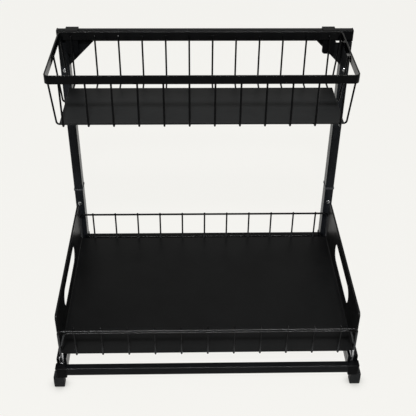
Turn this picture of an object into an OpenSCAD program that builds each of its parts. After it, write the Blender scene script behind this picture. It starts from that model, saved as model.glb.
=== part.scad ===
// Two-tier pull-out organiser: a steel stand with a sliding lower drawer on
// ball-bearing slides and a wire basket that hooks over the rear top bar.
// +X is right, +Y is back, +Z is up. The origin is on the floor, in the middle.

/* [Stand] */
// Width over the uprights
frame_w = 408; // [380:1:440]
// Depth from the front of the front blocks to the back of the rear blocks
frame_d = 304; // [290:1:340]
// Height of the top bar's upper face
frame_h = 394; // [340:1:440]
// Wall of every steel tube
tube_wall = 1.2; // [0.8:0.1:1.5]
// Outer corner radius of the steel tubes
tube_round = 1.6; // [1.3:0.1:2]

/* [Base] */
// Height of the underside of the base tubes
base_z = 22.5; // [20:0.5:30]
// Height of the base tubes
base_h = 13; // [11:0.5:16]
// Depth of the front and rear base tubes
base_bar_d = 10; // [9:0.5:13]
// Width of the side rails
rail_w = 13.6; // [13.5:0.1:15]
// How far the moulded blocks stand proud of the tubes at the front and back
block_lip = 0.6; // [0.4:0.1:1.5]
// How far they stand proud at the sides
block_side = 1.6; // [1:0.1:2.5]
// How far they reach below the base tubes
block_skirt = 3; // [2:0.5:6]
// How far they reach above the base tubes
block_crown = 0.4; // [0.3:0.1:1.5]
// Depth of a front block
block_d = 11.2; // [11:0.1:16]
// Edge radius of the blocks
block_round = 3; // [2:0.5:4]
// Length of the spigots that plug into the tubes
spigot_len = 15; // [8:1:24]
// Gap around a plugged-in spigot
plug_gap = 0.2; // [0.15:0.05:0.4]

/* [Feet] */
// Width of a foot, seen from the front
foot_w = 15; // [13:0.5:17]
// Depth of a foot
foot_d = 13.4; // [11:0.1:15]
// Corner radius of a foot
foot_round = 3; // [2:0.5:4]
// Radius of the stem that plugs into the block
foot_stem_r = 3; // [2:0.5:3.5]
// Length of the stem
foot_stem_len = 8; // [5:0.5:12]
// How far the foot stands outside the middle of its block
foot_out = 4.4; // [3:0.1:5]

/* [Uprights] */
// Width of an upright, seen from the front
upright_w = 13; // [12:0.5:16]
// Depth of an upright
upright_d = 20; // [18:0.5:24]
// Height of the joint between lower leg and upright
joint_z = 131.5; // [122:0.5:180]
// Thickness of the moulded collar in that joint
collar_h = 3; // [2:0.5:5]
// How far the collar stands proud
collar_lip = 0.7; // [0.4:0.1:1.2]
// Length of the necked end inside the lower leg
neck_len = 36; // [30:1:50]
// Distance of the lower screws below the joint
low_screw_drop = 24; // [12:1:26]
// Radius of a screw head
screw_head_r = 3.1; // [2.8:0.1:4]
// Height of a screw head
screw_head_h = 1.7; // [1.2:0.1:2]
// Radius of a screw shank
screw_r = 1.9; // [1.5:0.1:2.2]
// Length of a screw shank
screw_len = 7; // [5:0.5:8]

/* [Top bar] */
// Depth of the top bar
top_bar_d = 10; // [9:0.5:14]
// Height of the top bar
top_bar_h = 15.5; // [13:0.5:20]
// Size of the triangular gusset along the bar and down the upright
gusset = 36.5; // [28:0.5:45]
// Wall of the moulded corner
corner_wall = 2.2; // [1.5:0.1:3]
// Length of the slot left under the bar in each gusset
corner_slot_len = 10; // [6:0.5:14]
// Height of that slot
corner_slot_h = 2.8; // [2.4:0.1:3.2]
// Distance of the upper screws below the corner
top_screw_drop = 5.8; // [5:0.2:10]

/* [Slides] */
// Width of the fixed slide member
slide_w = 13.4; // [13.2:0.1:14]
// Height of the fixed slide member
slide_h = 8.6; // [8.6:0.1:9.2]
// Gap between the fixed member and the drawer's carrying flange
slide_gap = 0.7; // [0.5:0.1:1]
// Radius of a ball
ball_r = 1.5; // [1.3:0.05:1.55]
// Gap between a ball and its races
ball_gap = 0.25; // [0.2:0.05:0.3]
// Sideways distance of a ball row from the slide's middle
ball_x = 3.75; // [3.6:0.05:3.85]
// Balls in a row
ball_count = 7; // [5:1:8]
// Spacing of the balls
ball_pitch = 12; // [8:1:12]
// How far the drawer pulls out
travel = 165; // [120:5:170]

/* [Drawer] */
// Distance of the side panels in from the uprights' outer faces
tray_side_gap = 4; // [3:0.1:5]
// Gap between the front blocks and the drawer
tray_front_gap = 7.4; // [5:0.1:9]
// Gap between the drawer and the uprights
tray_rear_gap = 13.7; // [10:0.1:20]
// Height of the side panels
tray_h = 69; // [60:1:80]
// Sheet thickness
sheet = 1.2; // [0.8:0.1:1.5]
// Outer bend radius between floor and panels
bend_r = 3; // [2:0.5:5]
// Radius of the panels' upper corners
panel_round = 5; // [2:0.5:10]
// Height of the folded hem along the panels' upper edges
hem_h = 5; // [3:0.5:7]
// Length of a hand slot
slot_len = 116; // [80:1:140]
// Height of a hand slot
slot_h = 28.5; // [20:0.5:32]
// Height of the hand slots' middle over the drawer's underside
slot_z = 31.8; // [24:0.1:40]

/* [Drawer fences] */
// Height of the fence rails over the drawer's underside
fence_z = 45.5; // [35:0.5:55]
// Diameter of the fence rails
fence_rail_d = 3; // [2.5:0.1:4]
// Diameter of the upright fence wires
fence_wire_d = 2.5; // [2:0.1:3]
// Diameter of the second wire under the front rail
stay_wire_d = 2.4; // [2:0.1:3]
// Distance of the second wire below the rail
stay_drop = 3.8; // [3.5:0.1:5]
// Outward lean of the second wire's legs, in degrees
stay_lean = 15; // [10:1:20]
// Length of those legs
stay_leg = 20; // [12:1:25]
// Number of upright wires in a fence
fence_count = 11; // [7:1:13]
// Distance from the last upright wire to the panel's outer face
fence_end = 23; // [16:0.5:30]
// How far the upright wires stand above the rail
fence_tip = 2.4; // [1:0.1:4]
// Length of the feet that run under the floor
fence_foot = 14; // [8:1:25]
// Overlap of two wires at a weld
weld = 0.3; // [0.2:0.05:0.4]
// Gap between touching pieces that are welded in place
seat_gap = 0.1; // [0.05:0.05:0.2]

/* [Basket] */
// How much narrower the rim is than the stand
rim_less = 18; // [14:1:24]
// Depth of the rim
rim_d = 136; // [120:1:140]
// Height of the flat rim strip
rim_h = 11.5; // [9:0.5:15]
// Thickness of the rim strip
rim_t = 2; // [1.5:0.1:3]
// Outer corner radius of the rim
rim_round = 7; // [5:0.5:12]
// Height of the basket from the lowest wire to the rim's upper edge
basket_h = 74.8; // [60:0.2:90]
// Diameter of the basket wires
wire_d = 2.5; // [2:0.1:3]
// Bend radius of the basket wires at their middle line
wire_bend = 4; // [4:0.5:5]
// Number of wires that run from front to back
u_count = 12; // [8:1:14]
// Distance from the outermost of them to the rim's outer face
u_end = 17.5; // [15.5:0.5:25]
// Number of wires that run from side to side
long_count = 3; // [2:1:4]
// Outward lean of those wires' legs, in degrees
long_lean = 5; // [4:0.5:8]
// Depth of the basket's floor plate
plate_d = 98; // [80:1:110]
// Height of the lip folded down along the plate's front edge
plate_lip = 2; // [1.5:0.1:2.1]
// Sideways offset at which the basket hangs on the bar
basket_shift = -6.5; // [-8:0.5:8]

/* [Hooks] */
// Width of a hook strip
hook_w = 17.3; // [12:0.1:20]
// Thickness of a hook strip
hook_t = 2; // [1.5:0.1:2.5]
// Length of the hook in front of the bar
hook_front = 33; // [24:0.5:40]
// Length of the hook behind the bar
hook_rear = 15; // [10:0.5:16]
// Corner radius of the hook's ends
hook_round = 4; // [2:0.5:6]
// Gap between the hook and the stand
hook_gap = 0.5; // [0.4:0.1:1]

/* [Hidden] */
$fn = 48;
// Small overshoot of a cutting shape past the face it cuts
over = 1;
// Tiny overlap and step that fuse a leaning leg with its bend
join = 0.05;

front_y = -frame_d / 2;
rear_y = frame_d / 2;
side_x = frame_w / 2;
block_x = side_x + block_side;
base_top = base_z + base_h;
base_mid = base_z + base_h / 2;
block_low = base_z - block_skirt;
block_top = base_top + block_crown;
rail_x = side_x - rail_w / 2;
rail_in_x = side_x - rail_w;
front_bar_y = front_y + block_lip + base_bar_d / 2;
block_back_y = front_y + block_d;
upright_y = rear_y - block_lip - upright_d / 2;
upright_front = upright_y - upright_d / 2;
upright_x = side_x - upright_w / 2;
rear_block_y = upright_front - block_lip;
rail_len = rear_block_y - block_back_y;

top_bar_low = frame_h - top_bar_h;
top_bar_mid = frame_h - top_bar_h / 2;
corner_low = top_bar_low - gusset + over;
low_screw_z = joint_z - low_screw_drop;
top_screw_z = corner_low - top_screw_drop;
pilot_r = screw_r + plug_gap;

// Slide: heights are over the top of the side rail
slide_base = 1.2;
slide_lip = 1;
slide_slot = 5.2;
slide_wall = 1.7;
race_r = ball_r + ball_gap;
cage_low = 1.5;
cage_t = 0.6;
head_low = 2.5;
head_w = 5.2;
head_top = 6.6;
ball_z = 4.4;
web_w = 1.8;
slide_len = rail_len - 2 * seat_gap;
slide_front = block_back_y + seat_gap;
stop_t = 1.2;
stop_w = 3;
stop_in = 1;
stop_clear = 0.3;
ball_hole_gap = 0.1;
ball_hole_r = ball_r + ball_hole_gap;
cage_len = ball_pitch * ball_count;
cage_y = slide_front + stop_in + stop_t + over + travel / 2 + cage_len / 2;

flange_t = 1.2;
tray_z = base_top + slide_h + slide_gap + flange_t;
tray_w = frame_w - 2 * tray_side_gap;
tray_front = block_back_y + tray_front_gap;
tray_back = upright_front - tray_rear_gap;
tray_d = tray_back - tray_front;
tray_y = (tray_front + tray_back) / 2;
flange_in_w = 6;
flange_step = 0.5;
flange_out = tray_w / 2 - flange_step;
flange_in = rail_x - flange_in_w;
web_front = slide_front + flange_step;
flange_front = tray_front + 2 * over;
slide_back = tray_back - over;

fence_step = (tray_w - 2 * fence_end) / (fence_count - 1);
fence_leg_in = 2;
fence_leg_x = tray_w / 2 - fence_leg_in;
fence_bend = 5;

rim_top = frame_h + hook_t;
rim_low = rim_top - rim_h;
basket_low = rim_top - basket_h;
rim_w = frame_w - rim_less;
hook_back = upright_front - hook_gap;
rim_back = hook_back - hook_t;
rim_front = rim_back - rim_d;
rim_y = (rim_front + rim_back) / 2;
wire_r = wire_d / 2;
leg_in = rim_t + seat_gap + wire_r;
u_front = rim_front + leg_in;
u_back = rim_back - leg_in;
u_z = basket_low + wire_r;
u_step = (rim_w - 2 * u_end) / (u_count - 1);
wire_top = rim_top - rim_h / 2;
long_z = u_z + wire_d + seat_gap;
long_first = u_front + wire_bend;
long_step = (u_back - u_front - 2 * wire_bend) / (long_count - 1);
long_turn = 90 - long_lean;
long_leg = (wire_top - long_z - wire_bend * (1 - cos(long_turn))) / cos(long_lean);
long_half = rim_w / 2 - leg_in - long_leg * sin(long_lean) - wire_bend * sin(long_turn);
plate_z = long_z + wire_r + seat_gap;
plate_front = long_first - wire_r - seat_gap - sheet;
hook_x = rim_w / 2 - u_end;

steel = [0.11, 0.11, 0.12];
moulded = [0.16, 0.16, 0.17];
rubber = [0.22, 0.22, 0.23];
zinc = [0.75, 0.76, 0.78];

// ---- outlines ----

// Rectangle with round corners, in the middle
module round_rect(w, h, r) {
    square([w - 2 * r, h], center = true);
    square([w, h - 2 * r], center = true);
    for (sx = [-1, 1], sy = [-1, 1])
        translate([sx * (w / 2 - r), sy * (h / 2 - r)]) circle(r);
}

// Cross-section of a steel tube
module tube_outline(w, h) {
    difference() {
        round_rect(w, h, tube_round);
        round_rect(w - 2 * tube_wall, h - 2 * tube_wall, tube_round - tube_wall);
    }
}

// Quarter of a square left outside its inscribed arc, for rounding a corner at the origin
module corner_cut(r) {
    difference() {
        translate([-r, -r]) square(r + over);
        translate([-r, -r]) circle(r);
    }
}

// ---- placing ----

module both_sides() {
    children();
    mirror([1, 0, 0]) children();
}

// Lays an outline drawn in X and Y across the model, extruded along X
module along_x(len) {
    rotate([90, 0, 90]) linear_extrude(len, center = true) children();
}

// Stands an outline drawn in X and Z, extruded along Y
module along_y(len) {
    rotate([90, 0, 0]) linear_extrude(len, center = true) children();
}

// ---- base ----

module base_bar(y) {
    translate([0, y, base_mid]) along_x(2 * rail_in_x) tube_outline(base_bar_d, base_h);
}

module front_crossbar() {
    color(steel) base_bar(front_bar_y);
}

module rear_crossbar() {
    color(steel) base_bar(upright_y);
}

module side_rail() {
    translate([rail_x, (block_back_y + rear_block_y) / 2, base_mid])
        along_y(rail_len) tube_outline(rail_w, base_h);
}

module side_rail_left() {
    color(steel) mirror([1, 0, 0]) side_rail();
}

module side_rail_right() {
    color(steel) side_rail();
}

// A plug that fits inside a tube of the given outer size
module plug_outline(w, h) {
    square([w - 2 * (tube_wall + plug_gap), h - 2 * (tube_wall + plug_gap)], center = true);
}

// Moulded block between y0 and y1, its outer and outward corners rounded
module block_body(y0, y1, outward) {
    w = block_x - rail_in_x;
    intersection() {
        translate([rail_in_x, y0, block_low]) linear_extrude(block_top - block_low) difference() {
            square([w, y1 - y0]);
            translate([w, outward > 0 ? y1 - y0 : 0]) mirror([0, outward > 0 ? 0 : 1])
                corner_cut(block_round);
        }
        translate([0, (y0 + y1) / 2, 0]) along_y(y1 - y0) difference() {
            translate([rail_in_x, block_low]) square([w, block_top - block_low]);
            translate([block_x, block_top]) corner_cut(block_round / 2);
        }
        translate([rail_in_x + w / 2, 0, 0]) along_x(w) difference() {
            translate([y0, block_low]) square([y1 - y0, block_top - block_low]);
            translate([outward > 0 ? y1 : y0, block_top]) mirror([outward > 0 ? 0 : 1, 0])
                corner_cut(block_round / 2);
        }
    }
}

block_mid_x = (block_x + rail_in_x) / 2;
foot_edge = 0.2;
front_foot_y = front_y + foot_edge + foot_d / 2;
rear_foot_y = rear_y - foot_edge - foot_d / 2;

// Hole for a foot's stem, from below into a block
module foot_socket(y) {
    translate([block_mid_x, y, block_low - over])
        cylinder(r = foot_stem_r + plug_gap, h = foot_stem_len + plug_gap + over);
}

module block_front() {
    difference() {
        union() {
            block_body(front_y, block_back_y, -1);
            translate([rail_in_x - spigot_len / 2, front_bar_y, base_mid])
                along_x(spigot_len + 2 * over) plug_outline(base_bar_d, base_h);
            translate([rail_x, block_back_y + spigot_len / 2, base_mid])
                along_y(spigot_len + 2 * over) plug_outline(rail_w, base_h);
        }
        foot_socket(front_foot_y);
    }
}

module block_rear() {
    difference() {
        union() {
            block_body(rear_block_y, rear_y, 1);
            translate([rail_in_x - spigot_len / 2, upright_y, base_mid])
                along_x(spigot_len + 2 * over) plug_outline(base_bar_d, base_h);
            translate([rail_x, rear_block_y - spigot_len / 2, base_mid])
                along_y(spigot_len + 2 * over) plug_outline(rail_w, base_h);
            translate([upright_x, upright_y, block_top - over])
                linear_extrude(spigot_len + over) plug_outline(upright_w, upright_d);
        }
        foot_socket(rear_foot_y);
    }
}

module block_front_left() {
    color(moulded) mirror([1, 0, 0]) block_front();
}

module block_front_right() {
    color(moulded) block_front();
}

module block_rear_left() {
    color(moulded) mirror([1, 0, 0]) block_rear();
}

module block_rear_right() {
    color(moulded) block_rear();
}

// Side of a foot: bevelled sole, sides that bulge a little, drawn in towards the block
module foot_side(w) {
    sole = 1.2;
    bulge_z = block_low * 0.42;
    draft = 0.9;
    polygon([
        [-w / 2 + sole, 0], [w / 2 - sole, 0], [w / 2 - draft / 2, sole], [w / 2, bulge_z],
        [w / 2 - draft, block_low], [-w / 2 + draft, block_low], [-w / 2, bulge_z], [-w / 2 + draft / 2, sole]
    ]);
}

// Moulded foot with round corners and a stem for the block
module foot(y) {
    translate([block_mid_x + foot_out, y, 0]) intersection() {
        linear_extrude(block_low) round_rect(foot_w, foot_d, foot_round);
        along_y(foot_d) foot_side(foot_w);
        along_x(foot_w) foot_side(foot_d);
    }
    translate([block_mid_x, y, block_low - over]) cylinder(r = foot_stem_r, h = foot_stem_len + over);
}

module foot_front_left() {
    color(rubber) mirror([1, 0, 0]) foot(front_foot_y);
}

module foot_front_right() {
    color(rubber) foot(front_foot_y);
}

module foot_rear_left() {
    color(rubber) mirror([1, 0, 0]) foot(rear_foot_y);
}

module foot_rear_right() {
    color(rubber) foot(rear_foot_y);
}

// ---- uprights ----

// Hole for a screw, from the front into an upright
module screw_hole(z, r) {
    translate([upright_x, upright_front - over, z]) rotate([-90, 0, 0])
        cylinder(r = r, h = screw_len + 2 * over);
}

module lower_leg() {
    difference() {
        translate([upright_x, upright_y, block_top])
            linear_extrude(joint_z - block_top) tube_outline(upright_w, upright_d);
        screw_hole(low_screw_z, pilot_r);
    }
}

// Inside size of the upright, less the gap for what plugs in
neck_w = upright_w - 2 * (tube_wall + plug_gap);
neck_d = upright_d - 2 * (tube_wall + plug_gap);

module leg_collar() {
    translate([upright_x, upright_y, joint_z]) linear_extrude(collar_h) difference() {
        round_rect(upright_w + 2 * collar_lip, upright_d + 2 * collar_lip, tube_round);
        square([neck_w + 2 * plug_gap, neck_d + 2 * plug_gap], center = true);
    }
}

module upright() {
    low = joint_z + collar_h;
    difference() {
        union() {
            translate([upright_x, upright_y, low])
                linear_extrude(corner_low - low) round_rect(upright_w, upright_d, tube_round);
            translate([upright_x, upright_y, joint_z - neck_len])
                linear_extrude(neck_len + collar_h) square([neck_w, neck_d], center = true);
        }
        translate([upright_x, upright_y, joint_z - neck_len - over])
            linear_extrude(neck_len + collar_h + 2 * over)
                square([neck_w - 2 * tube_wall, neck_d - 2 * tube_wall], center = true);
        translate([upright_x, upright_y, low + tube_wall])
            linear_extrude(corner_low - low)
                round_rect(upright_w - 2 * tube_wall, upright_d - 2 * tube_wall, tube_round - tube_wall);
        screw_hole(low_screw_z, pilot_r);
        screw_hole(top_screw_z, pilot_r);
    }
}

module lower_leg_left() {
    color(steel) mirror([1, 0, 0]) lower_leg();
}

module lower_leg_right() {
    color(steel) lower_leg();
}

module leg_collar_left() {
    color(moulded) mirror([1, 0, 0]) leg_collar();
}

module leg_collar_right() {
    color(moulded) leg_collar();
}

module upright_left() {
    color(steel) mirror([1, 0, 0]) upright();
}

module upright_right() {
    color(steel) upright();
}

// Pan-head screw whose head rests on the plane y = 0 and points to -Y
module pan_screw(shank) {
    rotate([90, 0, 0]) rotate_extrude() {
        square([screw_head_r, screw_head_h / 2]);
        intersection() {
            translate([0, screw_head_h - screw_head_r * 2]) circle(screw_head_r * 2);
            square([screw_head_r, screw_head_h]);
        }
        translate([0, -shank]) square([screw_r, shank]);
    }
}

module upright_screws() {
    color(zinc) both_sides() {
        translate([upright_x, upright_front, low_screw_z]) pan_screw(screw_len);
        translate([upright_x, upright_front, top_screw_z]) pan_screw(screw_len);
    }
}

// ---- top ----

top_bar_front = upright_y - top_bar_d / 2;
corner_slot_x = side_x - upright_w - corner_wall - over;
tongue_h = top_bar_h - 2 * tube_wall - over;
tongue_side = 2.5;
tongue_w = upright_w - 2 * tongue_side;
tongue_d = top_bar_d - 2 * (tube_wall + plug_gap);
bar_screw_z = top_bar_low + tube_wall + tongue_h / 2;
bar_screw_shank = 4.5;

module top_crossbar() {
    color(steel) difference() {
        translate([0, upright_y, top_bar_mid]) along_x(frame_w) tube_outline(top_bar_d, top_bar_h);
        both_sides() {
            translate([upright_x, upright_y, top_bar_low])
                cube([tongue_w + 2 * plug_gap, tongue_d + plug_gap, 3 * tube_wall], center = true);
            translate([upright_x, upright_y + top_bar_d / 2 + over, bar_screw_z]) rotate([90, 0, 0])
                cylinder(r = pilot_r, h = bar_screw_shank);
        }
    }
}

// Triangle of the gusset in X and Z, its three sides drawn in by the given amount.
// Where it isn't drawn in, it runs a little way into the leg.
module gusset_outline(inset) {
    top = top_bar_low - inset;
    side = side_x - upright_w - inset;
    size = gusset - over - inset * (2 + sqrt(2));
    root = inset > 0 ? side : side + over;
    polygon([[root, top], [side - size, top], [side, top - size], [root, top - size]]);
}

// Moulded corner: a hollow gusset, a leg on the upright, a spigot and a tongue
module top_corner() {
    difference() {
        union() {
            translate([upright_x, upright_y, corner_low])
                linear_extrude(top_bar_low - corner_low) round_rect(upright_w, upright_d, tube_round);
            translate([0, upright_y, 0]) along_y(top_bar_d) gusset_outline(0);
            translate([upright_x, upright_y, corner_low - neck_len / 2])
                linear_extrude(neck_len) square([neck_w, neck_d], center = true);
            translate([upright_x, upright_y, top_bar_low - over])
                linear_extrude(over + tube_wall + tongue_h) square([tongue_w, tongue_d], center = true);
        }
        translate([0, upright_y + corner_wall, 0]) along_y(top_bar_d) gusset_outline(corner_wall);
        translate([corner_slot_x - corner_slot_len, top_bar_front - over, top_bar_low - corner_slot_h])
            cube([corner_slot_len, top_bar_d + 2 * over, corner_slot_h + over / 2]);
        screw_hole(top_screw_z, pilot_r);
        translate([upright_x, upright_y + top_bar_d / 2 + over, bar_screw_z]) rotate([90, 0, 0])
            cylinder(r = pilot_r, h = bar_screw_shank + 2 * over);
    }
}

module top_corner_left() {
    color(moulded) mirror([1, 0, 0]) top_corner();
}

module top_corner_right() {
    color(moulded) top_corner();
}

cap_t = 1.2;
cap_lip = 0.4;
cap_plug = 2;

module bar_cap() {
    translate([side_x + cap_t / 2, upright_y, top_bar_mid]) along_x(cap_t)
        round_rect(top_bar_d + 2 * cap_lip, top_bar_h + 2 * cap_lip, tube_round);
    translate([side_x - cap_plug / 2, upright_y, top_bar_mid]) along_x(cap_plug)
        plug_outline(top_bar_d, top_bar_h);
}

module bar_cap_left() {
    color(moulded) mirror([1, 0, 0]) bar_cap();
}

module bar_cap_right() {
    color(moulded) bar_cap();
}

module bar_screws() {
    color(zinc) both_sides()
        translate([upright_x, upright_y + top_bar_d / 2, bar_screw_z])
            rotate([0, 0, 180]) pan_screw(bar_screw_shank);
}

// ---- slides: drawn over the side rail, with the middle of the rail at x = 0 ----

module slide_outer_outline() {
    difference() {
        translate([-slide_w / 2, 0]) square([slide_w, slide_h]);
        translate([-slide_w / 2 + slide_wall, slide_base])
            square([slide_w - 2 * slide_wall, slide_h - slide_base - slide_lip]);
        translate([-slide_slot / 2, slide_base]) square([slide_slot, slide_h]);
        for (s = [-1, 1]) translate([s * ball_x, ball_z]) circle(race_r);
    }
}

rivet_r = 1.6;
rivet_head_r = 2.4;
rivet_head_h = 0.2;
rivet_gap = 0.1;
rivet_end = 20;
rivet_y = [-slide_len / 2 + rivet_end, 0, slide_len / 2 - rivet_end];

module slide_outer() {
    translate([rail_x, slide_front + slide_len / 2, base_top]) difference() {
        along_y(slide_len) slide_outer_outline();
        for (y = rivet_y) translate([0, y, -over])
            cylinder(r = rivet_r + rivet_gap, h = slide_base + 2 * over);
    }
    for (y = [slide_front + stop_in, slide_front + slide_len - stop_in - stop_t])
        translate([rail_x - stop_w / 2, y, base_top + slide_base])
            cube([stop_w, stop_t, head_low - slide_base - stop_clear]);
}

module slide_outer_left() {
    color(steel) mirror([1, 0, 0]) slide_outer();
}

module slide_outer_right() {
    color(steel) slide_outer();
}

// Flush rivets that hold the fixed member on the side rail
module slide_rivets() {
    color(zinc) both_sides() for (y = rivet_y)
        translate([rail_x, slide_front + slide_len / 2 + y, base_top]) {
            cylinder(r = rivet_r, h = slide_base);
            translate([0, 0, slide_base]) cylinder(r = rivet_head_r, h = rivet_head_h);
        }
}

module slide_inner() {
    translate([rail_x, 0, base_top]) {
        translate([0, (web_front + slide_back) / 2, 0]) along_y(slide_back - web_front) {
            difference() {
                translate([-head_w / 2, head_low]) square([head_w, head_top - head_low]);
                for (s = [-1, 1]) translate([s * ball_x, ball_z]) circle(race_r);
            }
            translate([-web_w / 2, head_top - over])
                square([web_w, slide_h + slide_gap - head_top + over]);
        }
        translate([flange_in - rail_x, flange_front, slide_h + slide_gap])
            cube([flange_out - flange_in, slide_back - flange_front, flange_t]);
    }
}

module slide_inner_left() {
    color(zinc) mirror([1, 0, 0]) slide_inner();
}

module slide_inner_right() {
    color(zinc) slide_inner();
}

// Strip bent to a channel, with a round hole for each ball
module ball_cage() {
    translate([rail_x, cage_y, base_top]) difference() {
        along_y(cage_len) difference() {
            translate([-ball_x - cage_t / 2, cage_low])
                square([2 * ball_x + cage_t, head_top - cage_low]);
            translate([-ball_x + cage_t / 2, cage_low + cage_t * 0.8])
                square([2 * ball_x - cage_t, head_top]);
        }
        for (i = [0 : ball_count - 1])
            translate([0, (i - (ball_count - 1) / 2) * ball_pitch, ball_z]) rotate([0, 90, 0])
                cylinder(r = ball_hole_r, h = slide_w, center = true);
    }
}

module ball_cage_left() {
    color(zinc) mirror([1, 0, 0]) ball_cage();
}

module ball_cage_right() {
    color(zinc) ball_cage();
}

module slide_balls() {
    color(zinc) both_sides() for (i = [0 : ball_count - 1], s = [-1, 1])
        translate([rail_x + s * ball_x, cage_y + (i - (ball_count - 1) / 2) * ball_pitch, base_top + ball_z])
            sphere(ball_r);
}

// ---- drawer ----

// Floor and side panels, bent from one sheet
module tray_outline() {
    difference() {
        union() {
            translate([-tray_w / 2, bend_r]) square([tray_w, tray_h - bend_r]);
            translate([-tray_w / 2 + bend_r, 0]) square([tray_w - 2 * bend_r, tray_h]);
            for (s = [-1, 1]) translate([s * (tray_w / 2 - bend_r), bend_r]) circle(bend_r);
        }
        translate([-tray_w / 2 + sheet, bend_r]) square([tray_w - 2 * sheet, tray_h - hem_h - bend_r]);
        translate([-tray_w / 2 + 2 * sheet, bend_r]) square([tray_w - 4 * sheet, tray_h]);
        translate([-tray_w / 2 + bend_r, sheet]) square([tray_w - 2 * bend_r, tray_h]);
        for (s = [-1, 1]) translate([s * (tray_w / 2 - bend_r), bend_r]) circle(bend_r - sheet);
    }
}

module drawer_tray() {
    color(steel) difference() {
        translate([0, tray_y, tray_z]) along_y(tray_d) tray_outline();
        translate([0, tray_y, tray_z + slot_z]) along_x(tray_w + 2 * over) {
            square([slot_len - slot_h, slot_h], center = true);
            for (s = [-1, 1]) translate([s * (slot_len - slot_h) / 2, 0]) circle(slot_h / 2);
        }
        translate([0, tray_y, tray_z + tray_h]) along_x(tray_w + 2 * over) {
            translate([tray_d / 2, 0]) corner_cut(panel_round);
            mirror([1, 0]) translate([tray_d / 2, 0]) corner_cut(panel_round);
        }
    }
}

// Straight wire along X, Y or Z, from the given point
module wire_x(p, len, d) {
    translate(p) rotate([0, 90, 0]) cylinder(d = d, h = len);
}

module wire_y(p, len, d) {
    translate(p) rotate([-90, 0, 0]) cylinder(d = d, h = len);
}

module wire_z(p, len, d) {
    translate(p) cylinder(d = d, h = len);
}

// Rail bent down at both ends, each end turned back to the drawer at height z_end
module fence_rail(leg_x, y, z, z_end, bend, d) {
    back = -seat_gap - y;
    wire_x([-leg_x + bend, y, z], 2 * (leg_x - bend), d);
    for (s = [0, 1]) mirror([s, 0, 0]) {
        translate([leg_x - bend, y, z - bend]) rotate([90, 0, 0])
            rotate_extrude(angle = 90) translate([bend, 0]) circle(d = d);
        wire_z([leg_x, y, z_end + back], z - bend - z_end - back, d);
        translate([leg_x, y + back, z_end + back]) rotate([0, 90, 0]) rotate([0, 0, 90])
            rotate_extrude(angle = 90) translate([-back, 0]) circle(d = d);
    }
}

// Upright wire whose foot is bent back under the floor
module fence_post(y) {
    foot_z = -seat_gap - fence_wire_d / 2;
    foot_bend = fence_wire_d;
    bend_z = foot_z + foot_bend;
    wire_z([0, y, bend_z], fence_z + fence_rail_d / 2 + fence_tip - bend_z, fence_wire_d);
    translate([0, y + foot_bend, bend_z]) rotate([0, 90, 0]) rotate([0, 0, 90])
        rotate_extrude(angle = 90) translate([-foot_bend, 0]) circle(d = fence_wire_d);
    wire_y([0, y + foot_bend, foot_z], fence_foot - foot_bend, fence_wire_d);
}

// Second wire: it is bent down at both ends, and its legs lean out to the rail's legs
module fence_stay(end_x, y, z, bend, d) {
    turn = 90 - stay_lean;
    start_x = end_x - stay_leg * sin(stay_lean) - bend * sin(turn);
    wire_x([-start_x, y, z], 2 * start_x, d);
    for (s = [0, 1]) mirror([s, 0, 0])
        translate([start_x, y, z - bend]) rotate([90, 0, 0]) {
            rotate([0, 0, stay_lean]) rotate_extrude(angle = turn)
                translate([bend, 0]) circle(d = d);
            rotate([0, 0, stay_lean]) translate([bend, join, 0]) rotate([90, 0, 0])
                cylinder(d = d - join, h = stay_leg + join);
        }
}

// Fence drawn for the front, measured from the drawer's front edge and underside.
// The front one has a second, thinner wire under the rail.
module fence(second) {
    post_y = -seat_gap - fence_wire_d / 2;
    rail_y = post_y - (fence_wire_d + fence_rail_d) / 2 + weld;
    stay_y = post_y - (fence_wire_d + stay_wire_d) / 2 + weld;
    fence_rail(fence_leg_x, rail_y, fence_z, sheet, fence_bend, fence_rail_d);
    if (second)
        fence_stay(fence_leg_x - (fence_rail_d + stay_wire_d) / 2 + weld, stay_y,
            fence_z - stay_drop, fence_bend - over, stay_wire_d);
    for (i = [0 : fence_count - 1])
        translate([-tray_w / 2 + fence_end + i * fence_step, 0, 0]) fence_post(post_y);
}

module front_fence() {
    color(steel) translate([0, tray_front, tray_z]) fence(true);
}

module back_fence() {
    color(steel) translate([0, tray_back, tray_z]) mirror([0, 1, 0]) fence(false);
}

// ---- basket ----

module basket_rim() {
    color(steel) translate([basket_shift, rim_y, rim_low]) linear_extrude(rim_h) difference() {
        round_rect(rim_w, rim_d, rim_round);
        round_rect(rim_w - 2 * rim_t, rim_d - 2 * rim_t, rim_round - rim_t);
    }
}

// One wire bent to a U, with legs up the front and the back
module u_wire() {
    bend_z = u_z + wire_bend;
    leg = wire_top - bend_z;
    wire_z([0, u_front, bend_z], leg, wire_d);
    wire_z([0, u_back, bend_z], leg, wire_d);
    wire_y([0, u_front + wire_bend, u_z], u_back - u_front - 2 * wire_bend, wire_d);
    translate([0, u_front + wire_bend, bend_z]) rotate([0, 90, 0]) rotate([0, 0, 90])
        rotate_extrude(angle = 90) translate([-wire_bend, 0]) circle(d = wire_d);
    translate([0, u_back - wire_bend, bend_z]) mirror([0, 1, 0]) rotate([0, 90, 0]) rotate([0, 0, 90])
        rotate_extrude(angle = 90) translate([-wire_bend, 0]) circle(d = wire_d);
}

module basket_u_wires() {
    color(steel) for (i = [0 : u_count - 1])
        translate([basket_shift - rim_w / 2 + u_end + i * u_step, 0, 0]) u_wire();
}

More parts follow.
